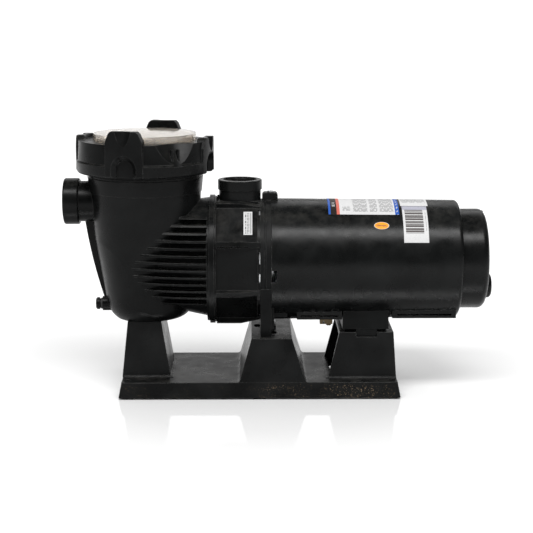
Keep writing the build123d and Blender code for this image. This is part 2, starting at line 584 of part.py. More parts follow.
# ---------------------------------------------------------------- motor
def front_end_bell():
    solid = tube(SHELL_X0, 18.5, 60, 12) + tube(18.5, FRAME_X0, 26, BEARING_R)
    solid += tube(29, FRAME_X0, FRAME_R, 26)
    solid += tube(29, FRAME_X0 + 6, FRAME_R - 2.6, FRAME_R - 6)
    for k in range(6):
        solid += around_shaft(block(18.4, 29.1, -2, 2, AXIS_Z + 24, AXIS_Z + 58), 60 * k)
    for k in range(4):
        ear = block(29, FRAME_X0, -7, 7, AXIS_Z + 60, AXIS_Z + BELL_R)
        ear -= drum(20, 40, TIE_R + 0.2, z=AXIS_Z + TIE_PITCH_R)
        solid += around_shaft(ear, 45 + 90 * k)
    return solid - drum(BEARING_FRONT_X, FRAME_X0 + 1, BEARING_R)


def rear_end_bell():
    solid = tube(FRAME_X1, FRAME_X1 + 5, FRAME_R, 24)
    solid += tube(FRAME_X1 - 6, FRAME_X1, FRAME_R - 2.6, FRAME_R - 6)
    solid += tube(FRAME_X1, BEARING_REAR_X + BEARING_W + 3, 25, BEARING_R) + tube(215, 218, 25, 12)
    for k in range(4):
        ear = block(FRAME_X1, FRAME_X1 + 5, -7, 7, AXIS_Z + 60, AXIS_Z + BELL_R)
        ear -= drum(190, 220, TIE_R + 0.2, z=AXIS_Z + TIE_PITCH_R)
        solid += around_shaft(ear, 45 + 90 * k)
    for k in range(8):
        solid -= around_shaft(drum(198, 207, 7, z=AXIS_Z + 43), 22.5 + 45 * k)
    return solid


def motor_frame():
    return tube(FRAME_X0, FRAME_X1, FRAME_R, FRAME_R - 2.5)


def stator_core():
    """Laminated ring with twenty-four winding slots open to its bore."""
    solid = tube(STATOR_X0, STATOR_X1, STATOR_R, STATOR_BORE_R)
    slot = drum(STATOR_X0 - 1, STATOR_X1 + 1, 2.6, z=AXIS_Z + 51)
    slot += drum(STATOR_X0 - 1, STATOR_X1 + 1, 2.0, z=AXIS_Z + 46)
    slot += block(STATOR_X0 - 1, STATOR_X1 + 1, -1, 1, AXIS_Z + 40, AXIS_Z + 50)
    return solid - [around_shaft(slot, 15 * k) for k in range(24)]


def windings():
    """The two end turns of the stator winding."""
    ends = []
    for x0, x1 in ((STATOR_X0 - 20, STATOR_X0), (STATOR_X1, STATOR_X1 + 20)):
        ends.append(lathe_x([(x0, 45), (x0, 58), (x1, 58), (x1, 45)], 4))
    return group(ends)


def tie_bolts():
    bolts = []
    for k in range(4):
        bolt = drum(12, FRAME_X1 + 6, TIE_R, z=AXIS_Z + TIE_PITCH_R)
        bolt += hex_drum(FRAME_X1 + 5, FRAME_X1 + 9, 7, z=AXIS_Z + TIE_PITCH_R)
        bolts.append(around_shaft(bolt, 45 + 90 * k))
    return group(bolts)


def shaft():
    """Stepped shaft from the impeller to the fan."""
    steps = [(-42, 18, 7.9), (18, 62, JOURNAL_R), (62, 168, 11), (168, 219, JOURNAL_R), (219, 242, 7)]
    solid = Part()
    for x0, x1, radius in steps:
        solid += drum(x0, x1, radius)
    return solid


def impeller_screw():
    return drum(-46.5, -42, 6.5) + drum(-49, -46.5, 8.5)


def slinger():
    return tube(5, 7, 14, 7.9) + tube(7, 11, 10.5, 7.9)


def rotor_core():
    """Squirrel cage: laminated drum with end rings and short blades."""
    solid = tube(STATOR_X0, STATOR_X1, ROTOR_R, 11)
    solid += tube(STATOR_X0 - 6, STATOR_X0, 38, 24) + tube(STATOR_X1, STATOR_X1 + 6, 38, 24)
    for k in range(8):
        for x0, x1 in ((STATOR_X0 - 14, STATOR_X0 - 6), (STATOR_X1 + 6, STATOR_X1 + 14)):
            solid += around_shaft(block(x0, x1, -1.2, 1.2, AXIS_Z + 26, AXIS_Z + 36), 45 * k)
    return solid


def bearing_outer(x0):
    """Fixed ring of a ball bearing, with its ball groove."""
    middle = x0 + BEARING_W / 2
    groove = Pos(middle, 0, AXIS_Z) * Rot(0, 90, 0) * Torus(14.25, 3.45)
    return tube(x0, x0 + BEARING_W, BEARING_R, 16.4) - groove


def bearing_inner(x0):
    """Turning ring of a ball bearing with its eight balls."""
    middle = x0 + BEARING_W / 2
    groove = Pos(middle, 0, AXIS_Z) * Rot(0, 90, 0) * Torus(14.25, 3.45)
    solids = [tube(x0, x0 + BEARING_W, 12.1, JOURNAL_R) - groove]
    for k in range(8):
        solids.append(around_shaft(Pos(middle, 0, AXIS_Z + 14.25) * Sphere(3.4), 45 * k))
    return group(solids)


def front_bearing_outer():
    return bearing_outer(BEARING_FRONT_X)


def front_bearing_inner():
    return bearing_inner(BEARING_FRONT_X)


def rear_bearing_outer():
    return bearing_outer(BEARING_REAR_X)


def rear_bearing_inner():
    return bearing_inner(BEARING_REAR_X)


def cooling_fan():
    solid = tube(222, 238, 12, 7) + tube(222, 224, 58, 7)
    for k in range(9):
        blade = block(224, 238, -1, 1, AXIS_Z + 11, AXIS_Z + 60)
        blade = Pos(0, 0, AXIS_Z + 35) * Rot(20, 0, 0) * Pos(0, 0, -AXIS_Z - 35) * blade
        solid += around_shaft(blade & drum(220, 240, 60), 40 * k)
    return solid - drum(220, 240, 7)


def fan_clip():
    return tube(238, 240, 10, 7)


# ---------------------------------------------------------------- motor shell
def shell_form(grow):
    """Outer form of the shell: a slightly tapered drum with a low shoulder on each side below."""
    front, rear = SHELL_X0 - grow, SHELL_X1 + grow
    outline = [(front, 0), (front, SHELL_R0 + grow), (rear, SHELL_R1 + grow), (rear, 0)]
    form = lathe_x(outline, [0, 0, 5.5 + grow, 0])
    for x0, x1, z0 in ((50, 110, 101.0), (177, 262, 102.5)):
        form += block(x0 - grow, x1 + grow, -51 - grow, 51 + grow, z0 - grow, 125)
    return form


def motor_shell():
    """Moulded cover round the motor, open to the bracket and round the end cap."""
    solid = shell_form(0) - shell_form(-SHELL_WALL)
    solid -= drum(SHELL_X0 - 1, SHELL_X0 + 5, SHELL_R0 - SHELL_WALL - 1)
    solid -= drum(SHELL_X1 - 5, SHELL_X1 + 1, CAP_R + 0.3)
    solid -= block(SHELL_X0 - 1, 23, -85, -60, 157, 173)
    for x0, x1, z0 in ((55, 105, 104.5), (183, 256, 106.0)):
        solid -= block(x0, x1, -54, 54, z0, z0 + 2.4)
    for x in range(56, 252, 8):
        solid -= block(x - 1.6, x + 1.6, -7, 30, 90, 99)
    return solid


def end_cap():
    """Round cover of the wiring space, with the cable hole low on its face."""
    solid = lathe_x([(256, 0), (256, CAP_R), (CAP_X1 - 1.5, CAP_R), (CAP_X1, 40), (CAP_X1, 0)])
    solid = fillet(solid.edges().filter_by(GeomType.CIRCLE).filter_by(lambda e: abs(e.radius - CAP_R) < 0.1
                                                                      and e.center().X > 290), 9)
    solid -= drum(255, CAP_X1 - 3.2, CAP_R - 3)
    solid += tube(256, CAP_X1 - 3, CAP_R - 2, CAP_R - 9) & block(250, 302, -5, 5, 60, 300)
    solid -= tube(257, 259, CAP_R - 3, 10)
    return solid - drum(CAP_X1 - 8, CAP_X1 + 1, 11, y=GLAND_Y, z=GLAND_Z)


def cable_gland():
    """Cable inlet: domed cap with a blind centre, screwed through the end cap."""
    solid = drum(CAP_X1 - 1.6, GLAND_X1, GLAND_R, y=GLAND_Y, z=GLAND_Z)
    solid = fillet(solid.edges().group_by(Axis.X)[-1], 5)
    solid += drum(CAP_X1 - 14, CAP_X1, 10.8, y=GLAND_Y, z=GLAND_Z)
    return solid - end_cap_skin()


def end_cap_skin():
    """Space that the end cap's face takes under the gland's flange."""
    skin = drum(CAP_X1 - 4, CAP_X1 + 0.05, 40, y=GLAND_Y, z=GLAND_Z)
    return skin - drum(CAP_X1 - 5, CAP_X1 + 1, 10.9, y=GLAND_Y, z=GLAND_Z)


def gland_nut():
    nut = hex_drum(CAP_X1 - 9, CAP_X1 - 4.2, 27, y=GLAND_Y, z=GLAND_Z)
    return nut - drum(CAP_X1 - 12, CAP_X1, 10.85, y=GLAND_Y, z=GLAND_Z)


def terminal_board():
    """Round board behind the fan with its row of terminals."""
    solid = tube(257, 259, CAP_R - 3.4, 10.5)
    for k in range(4):
        solid += block(258.9, 266, -34 + 18 * k, -22 + 18 * k, AXIS_Z - 42, AXIS_Z - 34)
    return solid


def capacitor():
    can = across(279, -36, 36, AXIS_Z + 26, 16.5)
    can = fillet(can.edges(), 2)
    return can + across(274, 36, 42, AXIS_Z + 26, 1.6) + across(284, 36, 42, AXIS_Z + 26, 1.6)


def rear_saddle():
    """Cradle between the rear pedestal and the motor shell."""
    x0, x1, z0 = REAR_NOTCH
    solid = hopper((110.7, 172.7, 48.0), REAR_TOP + 4, (112.2, 171.2, 55), 124)
    solid += block(x0 + 0.4, x1 - 0.4, -47, 47, z0, REAR_TOP + 4.1)
    solid += block(114, 170, -40, 40, REAR_TOP, REAR_TOP + 4.1)
    solid -= shell_cone(FIT)
    for y in (-30, 30):
        solid -= post(142, y, z0 - 1, 90, 3.2)
    return solid


def shell_cone(grow):
    """The shell's tapered drum alone."""
    return lathe_x([(SHELL_X0, 0), (SHELL_X0, SHELL_R0 + grow), (SHELL_X1, SHELL_R1 + grow), (SHELL_X1, 0)])


def saddle_screws():
    solids = []
    for y in (-30, 30):
        screw = post(142, y, 68, 89, 3.1)
        screw += post(142, y, 66, REAR_NOTCH[2] - 3.1, 6)
        solids.append(screw)
    return group(solids)


def bonding_lug():
    """Copper-alloy lug for the equipotential bonding wire, under the shell."""
    solid = block(82, 99, -22, -10, 88, 98) - shell_cone(0.05)
    return solid - across(87, -23, -9, 90.5, 1.5)


def bonding_screw():
    return post(94, -16, 85.4, 88, 3.2)


NODES = {
    "base": base,
    "strainer_pot": strainer_pot,
    "strainer_basket": strainer_basket,
    "drain_plug": drain_plug,
    "drain_seal": drain_seal,
    "lid_lens": lid_lens,
    "lid_seal": lid_seal,
    "lock_ring": lock_ring,
    "volute": volute,
    "diffuser": diffuser,
    "wear_ring": wear_ring,
    "impeller": impeller,
    "impeller_screw": impeller_screw,
    "seal_plate": seal_plate,
    "case_seal": case_seal,
    "seal_seat": seal_seat,
    "seal_seat_boot": seal_seat_boot,
    "seal_head": seal_head,
    "seal_spring": seal_spring,
    "bracket": bracket,
    "bracket_bolts": bracket_bolts,
    "bracket_nuts": bracket_nuts,
    "top_screw": top_screw,
    "front_end_bell": front_end_bell,
    "rear_end_bell": rear_end_bell,
    "motor_frame": motor_frame,
    "stator_core": stator_core,
    "windings": windings,
    "tie_bolts": tie_bolts,
    "shaft": shaft,
    "slinger": slinger,
    "rotor_core": rotor_core,
    "front_bearing_outer": front_bearing_outer,
    "front_bearing_inner": front_bearing_inner,
    "rear_bearing_outer": rear_bearing_outer,
    "rear_bearing_inner": rear_bearing_inner,
    "cooling_fan": cooling_fan,
    "fan_clip": fan_clip,
    "motor_shell": motor_shell,
    "end_cap": end_cap,
    "cable_gland": cable_gland,
    "gland_nut": gland_nut,
    "terminal_board": terminal_board,
    "capacitor": capacitor,
    "rear_saddle": rear_saddle,
    "saddle_screws": saddle_screws,
    "bonding_lug": bonding_lug,
    "bonding_screw": bonding_screw,
}

os.makedirs("parts", exist_ok=True)
for name, make in NODES.items():
    export_step(make(), f"parts/{name}.step")
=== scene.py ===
"""Looks of the pool pump: materials, labels, pipe threads, floor, light and camera.

Metres, in the CAD model's own frame: +X along the shaft to the motor's rear, +Z up.
"""
import json
import math
import random

import bmesh
import bpy
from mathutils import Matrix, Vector


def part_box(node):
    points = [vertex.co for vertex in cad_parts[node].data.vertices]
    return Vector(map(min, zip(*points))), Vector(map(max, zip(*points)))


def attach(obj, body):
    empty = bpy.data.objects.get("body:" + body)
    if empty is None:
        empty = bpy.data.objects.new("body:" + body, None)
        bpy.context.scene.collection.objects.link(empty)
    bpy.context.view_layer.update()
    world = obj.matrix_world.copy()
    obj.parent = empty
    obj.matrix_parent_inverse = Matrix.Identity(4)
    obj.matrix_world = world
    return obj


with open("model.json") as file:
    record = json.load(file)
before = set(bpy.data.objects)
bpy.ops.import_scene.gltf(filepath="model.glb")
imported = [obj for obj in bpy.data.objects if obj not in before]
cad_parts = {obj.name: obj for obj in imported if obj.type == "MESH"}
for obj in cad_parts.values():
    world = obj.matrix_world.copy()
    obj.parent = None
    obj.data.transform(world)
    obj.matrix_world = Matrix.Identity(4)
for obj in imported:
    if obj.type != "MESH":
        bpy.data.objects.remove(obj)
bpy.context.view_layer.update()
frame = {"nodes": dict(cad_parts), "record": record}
record = frame["record"]
nodes = frame["nodes"]
MM = 0.001

# ---------------------------------------------------------------- places taken from the frame
JOINTS = {joint["name"]: joint for joint in record["behaviour"]["joints"]}
MOUNTS = {mount["name"]: mount for mount in record["mounts"]}
AXIS_Z = JOINTS["rotor_spin"]["pos_m"][2]
SHELL_LOW, SHELL_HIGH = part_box("motor_shell")
SHELL_TAPER = 2.6 * MM    # the shell's radius at its front edge, less that at its rear edge
SHELL_R_FRONT = SHELL_HIGH.z - AXIS_Z
SHELL_R_REAR = SHELL_R_FRONT - SHELL_TAPER
PANEL_R = 77.05 * MM      # distance of the casing's flat panels from the shaft
SKIRT_TOP = 18 * MM       # height of the base's skirt


# ---------------------------------------------------------------- node helpers
# A colour Mix node's sockets share their names with its other sockets, so they go by number.
MIX_FACTOR, MIX_FIRST, MIX_SECOND, MIX_RESULT = 0, 6, 7, 2


class Look:
    """A material's node tree with short ways to add and link nodes."""

    def __init__(self, name):
        self.material = bpy.data.materials.new(name)
        self.material.use_nodes = True
        self.tree = self.material.node_tree
        self.shader = self.tree.nodes["Principled BSDF"]
        self.place = self.add("ShaderNodeTexCoord").outputs["Object"]

    def add(self, kind, **settings):
        node = self.tree.nodes.new(kind)
        for key, value in settings.items():
            setattr(node, key, value)
        return node

    def link(self, source, target):
        self.tree.links.new(source, target)

    def feed(self, socket, value):
        """Give a socket a number, a colour tuple or another node's output."""
        if isinstance(value, (int, float)):
            socket.default_value = value
        elif isinstance(value, tuple):
            socket.default_value = (*value, 1.0)
        else:
            self.link(value, socket)

    def noise(self, scale, detail=2.0, rough=0.5, stretch=None):
        """Noise texture over the object's own coordinates; scale is in cycles per metre."""
        node = self.add("ShaderNodeTexNoise")
        node.inputs["Scale"].default_value = scale
        node.inputs["Detail"].default_value = detail
        node.inputs["Roughness"].default_value = rough
        place = self.place
        if stretch:
            mapping = self.add("ShaderNodeMapping")
            mapping.inputs["Scale"].default_value = stretch
            self.link(place, mapping.inputs["Vector"])
            place = mapping.outputs["Vector"]
        self.link(place, node.inputs["Vector"])
        return node.outputs["Fac"]

    def multiply(self, first, second):
        node = self.add("ShaderNodeMath", operation="MULTIPLY")
        self.feed(node.inputs[0], first)
        self.feed(node.inputs[1], second)
        return node.outputs[0]

    def span(self, value, low, high, to_low=0.0, to_high=1.0):
        """Map a value's range onto another, clamped."""
        node = self.add("ShaderNodeMapRange")
        node.inputs["From Min"].default_value = low
        node.inputs["From Max"].default_value = high
        node.inputs["To Min"].default_value = to_low
        node.inputs["To Max"].default_value = to_high
        self.link(value, node.inputs["Value"])
        return node.outputs["Result"]

    def mix(self, factor, first, second):
        """Blend two colours."""
        node = self.add("ShaderNodeMix", data_type="RGBA")
        self.feed(node.inputs[MIX_FACTOR], factor)
        self.feed(node.inputs[MIX_FIRST], first)
        self.feed(node.inputs[MIX_SECOND], second)
        return node.outputs[MIX_RESULT]

    def bump(self, height, distance, strength, normal=None):
        node = self.add("ShaderNodeBump")
        node.inputs["Distance"].default_value = distance
        node.inputs["Strength"].default_value = strength
        self.link(height, node.inputs["Height"])
        if normal is not None:
            self.link(normal, node.inputs["Normal"])
        return node.outputs["Normal"]

    def edges(self, radius):
        """(rounded normal, how near an edge is): a small rounding of the shading at sharp edges."""
        flat, sharp = 0.995, 0.85    # cosine between the rounded and the true normal
        bevel = self.add("ShaderNodeBevel", samples=4)
        bevel.inputs["Radius"].default_value = radius
        geometry = self.add("ShaderNodeNewGeometry")
        dot = self.add("ShaderNodeVectorMath", operation="DOT_PRODUCT")
        self.link(bevel.outputs["Normal"], dot.inputs[0])
        self.link(geometry.outputs["True Normal"], dot.inputs[1])
        return bevel.outputs["Normal"], self.span(dot.outputs["Value"], flat, sharp)

    def facing_up(self):
        """1 where the surface faces up, 0 where it faces sideways or down."""
        geometry = self.add("ShaderNodeNewGeometry")
        parts = self.add("ShaderNodeSeparateXYZ")
        self.link(geometry.outputs["Normal"], parts.inputs[0])
        return self.span(parts.outputs["Z"], 0.25, 0.95)

    def low_right(self):
        """1 on the skirt at the motor's end, little on the skirt at the other end, none higher up."""
        parts = self.add("ShaderNodeSeparateXYZ")
        self.link(self.place, parts.inputs[0])
        left, right, little = -0.05, 0.15, 0.15
        low = self.span(parts.outputs["Z"], SKIRT_TOP, SKIRT_TOP + 5 * MM, 1.0, 0.0)
        return self.multiply(low, self.span(parts.outputs["X"], left, right, little, 1.0))

    def finish(self, colour, roughness, normal, **sockets):
        """Feed the shader; a normal of None leaves the surface's own."""
        self.feed(self.shader.inputs["Base Color"], colour)
        self.feed(self.shader.inputs["Roughness"], roughness)
        if normal is not None:
            self.feed(self.shader.inputs["Normal"], normal)
        for name, value in sockets.items():
            self.shader.inputs[name.replace("_", " ")].default_value = value
        return self.material


# ---------------------------------------------------------------- materials
# Pale tone for the plastics' edges: partly wear, partly a painted highlight line along the edges.
WORN_EDGE_AND_HIGHLIGHT = (0.05, 0.05, 0.049)
SETTLED_DUST = (0.14, 0.133, 0.12)
TAN_SPECK = (0.30, 0.22, 0.14)


def scaled(tone, factor):
    return tuple(min(1.0, factor * channel) for channel in tone)


def moulded(name, tone, rough, specular, dust, specks=0.0, edge=0.7 * MM):
    """Injection-moulded plastic: mottled tone, satin grain, pale edges that are partly wear and partly
    painted highlight, and settled dust.
    """
    look = Look(name)
    mottling = look.span(look.noise(22, 4), 0.35, 0.68)
    colour = look.mix(mottling, scaled(tone, 0.7), scaled(tone, 1.5))
    rounded, near_edge = look.edges(edge)
    # Pale edges: partly wear, partly painted highlight along the rounded edges.
    wear_and_highlight = look.multiply(near_edge, look.span(look.noise(160, 3), 0.4, 0.7, 0.25, 0.9))
    colour = look.mix(wear_and_highlight, colour, WORN_EDGE_AND_HIGHLIGHT)
    settled = look.multiply(look.facing_up(), look.span(look.noise(70, 5, 0.65), 0.42, 0.75))
    colour = look.mix(look.multiply(settled, dust), colour, SETTLED_DUST)
    if specks:
        fleck = look.multiply(look.low_right(), look.span(look.noise(620, 2, 0.7), 0.62, 0.67))
        patch = look.span(look.noise(24, 2), 0.40, 0.62)
        colour = look.mix(look.multiply(look.multiply(fleck, patch), specks), colour, TAN_SPECK)
    roughness = look.span(look.noise(45, 4), 0.3, 0.7, rough - 0.07, rough + 0.08)
    grain = look.bump(look.noise(1900, 2), 0.12 * MM, 0.3, rounded)
    waves = look.bump(look.noise(28, 2), 0.8 * MM, 0.12, grain)
    return look.finish(colour, roughness, waves, Specular_IOR_Level=specular)


def machined(name, tone, rough, stretch=(1, 1, 1)):
    """Bare metal with fine turning or casting marks."""
    look = Look(name)
    colour = look.mix(look.span(look.noise(60, 4), 0.3, 0.7), scaled(tone, 0.85), tone)
    rounded, near_edge = look.edges(0.4 * MM)
    # Lighter edges: painted edge highlight.
    colour = look.mix(look.multiply(near_edge, 0.5), colour, scaled(tone, 1.3))
    marks = look.noise(900, 3, 0.6, stretch)
    roughness = look.span(marks, 0.3, 0.7, rough - 0.08, rough + 0.12)
    normal = look.bump(marks, 0.05 * MM, 0.35, rounded)
    return look.finish(colour, roughness, normal, Metallic=1.0)


def rubber(name, tone):
    """Matt rubber or carbon."""
    look = Look(name)
    colour = look.mix(look.noise(240, 4), tone, scaled(tone, 2.2))
    roughness = look.span(look.noise(90, 2), 0.3, 0.7, 0.62, 0.8)
    normal = look.bump(look.noise(1500, 3), 0.08 * MM, 0.5)
    return look.finish(colour, roughness, normal, Specular_IOR_Level=0.35)


def clear_lid(name):
    """Clear moulding with a slight smoky brown cast and fine scuffs."""
    look = Look(name)
    scuffs = look.span(look.noise(420, 4, 0.6, (1, 3, 1)), 0.55, 0.8)
    colour = look.mix(scuffs, (0.80, 0.74, 0.66), (0.66, 0.62, 0.56))
    roughness = look.span(look.noise(180, 3), 0.3, 0.8, 0.05, 0.2)
    normal = look.bump(look.noise(40, 2), 0.4 * MM, 0.12)
    return look.finish(colour, roughness, normal, Transmission_Weight=0.85, IOR=1.49)


def winding(name):
    """Varnished copper wire, laid round the bore."""
    look = Look(name)
    strands = look.noise(1400, 2, 0.5, (1, 0.15, 0.15))
    colour = look.mix(strands, (0.30, 0.10, 0.035), (0.62, 0.27, 0.10))
    normal = look.bump(strands, 0.4 * MM, 0.8)
    return look.finish(colour, 0.32, normal, Metallic=0.6)


def laminations(name):
    """Stack of thin steel sheets across the shaft."""
    look = Look(name)
    sheets = look.add("ShaderNodeTexWave", wave_type="BANDS", bands_direction="X")
    sheets.inputs["Scale"].default_value = 320
    sheets.inputs["Distortion"].default_value = 0.4
    look.link(look.place, sheets.inputs["Vector"])
    colour = look.mix(sheets.outputs["Fac"], (0.13, 0.13, 0.14), (0.36, 0.36, 0.38))
    normal = look.bump(sheets.outputs["Fac"], 0.15 * MM, 0.5)
    return look.finish(colour, 0.42, normal, Metallic=0.9)


def ceramic(name):
    """Smooth off-white ceramic."""
    look = Look(name)
    colour = look.mix(look.noise(120, 4), (0.78, 0.76, 0.71), (0.88, 0.86, 0.82))
    return look.finish(colour, look.span(look.noise(300, 2), 0.3, 0.7, 0.12, 0.25), None)


def painted(name, tone):
    """Sheet metal under a dark coat of paint."""
    look = Look(name)
    colour = look.mix(look.noise(80, 4), tone, scaled(tone, 1.6))
    roughness = look.span(look.noise(60, 2), 0.3, 0.7, 0.35, 0.5)
    normal = look.bump(look.noise(700, 3), 0.1 * MM, 0.4)
    return look.finish(colour, roughness, normal)


def printed(name, tone):
    """Ink or paper of a label, a little uneven."""
    look = Look(name)
    colour = look.mix(look.span(look.noise(900, 3), 0.3, 0.75), tone, scaled(tone, 0.8))
    normal = look.bump(look.noise(300, 2), 0.05 * MM, 0.3)
    return look.finish(colour, 0.4, normal, Specular_IOR_Level=0.15)


PLASTICS = {
    "base_plastic": dict(
        tone=(0.0050, 0.0052, 0.0052), rough=0.30, specular=0.09, dust=0.10, specks=0.7, edge=1.6 * MM),
    "housing_plastic": dict(
        tone=(0.0030, 0.0032, 0.0032), rough=0.29, specular=0.085, dust=0.12, specks=0.05, edge=1.1 * MM),
    "shell_plastic": dict(
        tone=(0.0034, 0.0037, 0.0037), rough=0.27, specular=0.125, dust=0.10, specks=0.08, edge=1.0 * MM),
    "bracket_plastic": dict(
        tone=(0.0040, 0.0043, 0.0043), rough=0.40, specular=0.07, dust=0.12, edge=1.0 * MM),
    "basket_plastic": dict(tone=(0.46, 0.46, 0.43), rough=0.45, specular=0.5, dust=0.2),
    "impeller_plastic": dict(tone=(0.035, 0.035, 0.036), rough=0.4, specular=0.5, dust=0.1),
}
TURNED = (8, 1, 1)    # stretch of the marks that a lathe leaves across the shaft
LIBRARY = {name: moulded(name, **settings) for name, settings in PLASTICS.items()}
LIBRARY |= {
    "lid_clear": clear_lid("lid_clear"),
    "seal_rubber": rubber("seal_rubber", (0.012, 0.012, 0.012)),
    "bronze": machined("bronze", (0.62, 0.38, 0.18), 0.28, TURNED),
    "brass": machined("brass", (0.13, 0.10, 0.06), 0.45),
    "stainless": machined("stainless", (0.62, 0.61, 0.59), 0.25, TURNED),
    "zinc_steel": machined("zinc_steel", (0.60, 0.61, 0.62), 0.32),
    "bell_aluminium": machined("bell_aluminium", (0.75, 0.76, 0.77), 0.4),
    "frame_steel": painted("frame_steel", (0.03, 0.031, 0.034)),
    "core_steel": laminations("core_steel"),
    "copper_winding": winding("copper_winding"),
    "ceramic_seat": ceramic("ceramic_seat"),
    "carbon": rubber("carbon", (0.02, 0.02, 0.021)),
    "capacitor_case": painted("capacitor_case", (0.02, 0.02, 0.022)),
}

for entry in record["subparts"]:
    for slot in nodes[entry["node"]].material_slots:
        slot.material = LIBRARY[entry["material_slot"]]


# ---------------------------------------------------------------- pieces
def new_piece(name, mesh, body, slot, *materials):
    """Make a piece of a bmesh, which is freed, and hang it on a body."""
    data = bpy.data.meshes.new(name)
    mesh.to_mesh(data)
    mesh.free()
    for material in materials:
        data.materials.append(material)
    piece = bpy.data.objects.new(name, data)
    bpy.context.scene.collection.objects.link(piece)
    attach(piece, body)
    return piece


# ---------------------------------------------------------------- pipe threads
THREAD_PITCH = 2.2 * MM
THREAD_DEPTH = 1.0 * MM
THREAD_SINK = 0.1 * MM                     # how far the ridge's foot sits inside the wall
THREAD_FOOT, THREAD_CREST = 0.46, 0.08     # half widths of the ridge, in pitches
THREAD_START = 2 * MM                      # smooth lead behind the port's mouth
THREAD_STEPS = 72                          # per turn


def thread(name, mouth, axis, radius, length):
    """Helical ridge inside a port, fading in behind its mouth and out before its end."""
    turns = int((length - 2 * THREAD_START) / THREAD_PITCH)
    total = THREAD_STEPS * turns
    side = Vector((0, 1, 0)).cross(axis).normalized()
    other = axis.cross(side)
    mesh = bmesh.new()
    previous = None
    for i in range(total + 1):
        angle = 2 * math.pi * i / THREAD_STEPS
        back = THREAD_START + THREAD_PITCH * i / THREAD_STEPS
        crest = THREAD_DEPTH * min(1.0, i / THREAD_STEPS, (total - i) / THREAD_STEPS)
        outward = side * math.cos(angle) + other * math.sin(angle)
        profile = ((-THREAD_FOOT, -THREAD_SINK), (-THREAD_CREST, crest),
                   (THREAD_CREST, crest), (THREAD_FOOT, -THREAD_SINK))
        ring = []
        for offset, height in profile:
            middle = mouth - axis * (back + offset * THREAD_PITCH)
            ring.append(mesh.verts.new(middle + outward * (radius - height)))
        if previous:
            for k in range(len(ring)):
                after = (k + 1) % len(ring)
                mesh.faces.new((previous[k], previous[after], ring[after], ring[k]))
        else:
            mesh.faces.new(ring)
        previous = ring
    mesh.faces.new(list(reversed(previous)))
    bmesh.ops.recalc_face_normals(mesh, faces=mesh.faces)
    new_piece(name, mesh, "frame", "housing_plastic", LIBRARY["housing_plastic"])


for port in ("suction_port", "discharge_port"):
    mount = MOUNTS[port]
    thread(port + "_thread", Vector(mount["pos_m"]), Vector(mount["axis"]),
           mount["dims"]["r_mm"] * MM, mount["dims"]["length_mm"] * MM)


# ---------------------------------------------------------------- labels
INKS = {
    "paper": printed("label_paper", (0.40, 0.40, 0.40)),
    "grey": printed("label_grey", (0.10, 0.10, 0.10)),
    "blue": printed("label_blue", (0.014, 0.06, 0.26)),
    "lilac": printed("label_lilac", (0.25, 0.25, 0.29)),
    "red": printed("label_red", (0.38, 0.09, 0.065)),
    "black": printed("label_black", (0.016, 0.011, 0.009)),
    "orange": printed("label_orange", (0.62, 0.22, 0.006)),
    "bars": printed("label_bars", (0.050, 0.044, 0.042)),
}
INK_INDEX = {ink: index for index, ink in enumerate(INKS)}
LABEL_LIFT = 0.12 * MM       # gap between a label and the plastic under it
LABEL_THICKNESS = 0.1 * MM
LABEL_CELL = 0.5 * MM        # size of a label's faces, and so of its finest print
LABEL_RADIUS = 80.5 * MM     # at which a label's width round the shaft is counted


def around(x, angle, radius):
    """Point at a distance from the shaft; the angle runs from the top towards the front."""
    return Vector((x, -radius * math.sin(angle), AXIS_Z + radius * math.cos(angle)))


def shell_point(x, angle):
    """Point just above the tapering motor shell."""
    along = (x - SHELL_LOW.x) / (SHELL_HIGH.x - SHELL_LOW.x)
    return around(x, angle, SHELL_R_FRONT + (SHELL_R_REAR - SHELL_R_FRONT) * along + LABEL_LIFT)


def volute_point(x, angle):
    """Point just above the casing's flat panel halfway between the top and the front."""
    return around(x, angle, (PANEL_R + LABEL_LIFT) / math.cos(angle - math.radians(45)))


def printed_piece(name, mesh):
    """Give a printed surface its inks and the thickness of a sheet."""
    piece = new_piece(name, mesh, "frame", None, *INKS.values())
    sheet = piece.modifiers.new("thickness", "SOLIDIFY")
    sheet.thickness = LABEL_THICKNESS
    sheet.offset = 1.0


def label(name, surface, x0, x1, low, high, ink):
    """Printed sheet wrapped on a surface, between two places in X and two angles in degrees.

    ink(u, v) names the ink at a place in millimetres: u runs along X from the left end, v round
    the shaft from the rear edge to the front edge.
    """
    columns = round((x1 - x0) / LABEL_CELL)
    rows = round(math.radians(high - low) * LABEL_RADIUS / LABEL_CELL)
    mesh = bmesh.new()
    grid = []
    for j in range(rows + 1):
        angle = math.radians(low + (high - low) * j / rows)
        places = [x0 + (x1 - x0) * i / columns for i in range(columns + 1)]
        grid.append([mesh.verts.new(surface(x, angle)) for x in places])
    for j in range(rows):
        for i in range(columns):
            face = mesh.faces.new((grid[j][i], grid[j + 1][i], grid[j + 1][i + 1], grid[j][i + 1]))
            u, v = ((n + 0.5) * LABEL_CELL / MM for n in (i, j))
            face.material_index = INK_INDEX[ink(u, v)]
            face.smooth = True
    printed_piece(name, mesh)


LETTER = 0.9                       # width of one unreadable mark, mm
# Where the labels carry print, in mm: left, right, rear and front edge of each block
RATING_BLOCKS = ((19, 29, 56, 66), (33, 52, 3, 68), (55, 65, 3, 68), (68, 86, 3, 68))
BLACK_BAND_BLOCK = (5, 9, 44, 56)
NOTICE_BLOCK = (2, 34, 3, 43)
VOLUTE_BLOCK = (1.5, 10, 2, 36)
BARS_BLOCK = (3.2, 27.2, 9, 50)
BARS_SIDE_BLOCK = (29, 30.5, 14, 46)
# Where the rating label's bands end, and where its last one starts
BLUE_END, BLACK_END, RED_END, LAST_BLUE = 3, 11, 15, 88


def inside(u, v, block):
    left, right, rear, front = block
    return left < u < right and rear < v < front


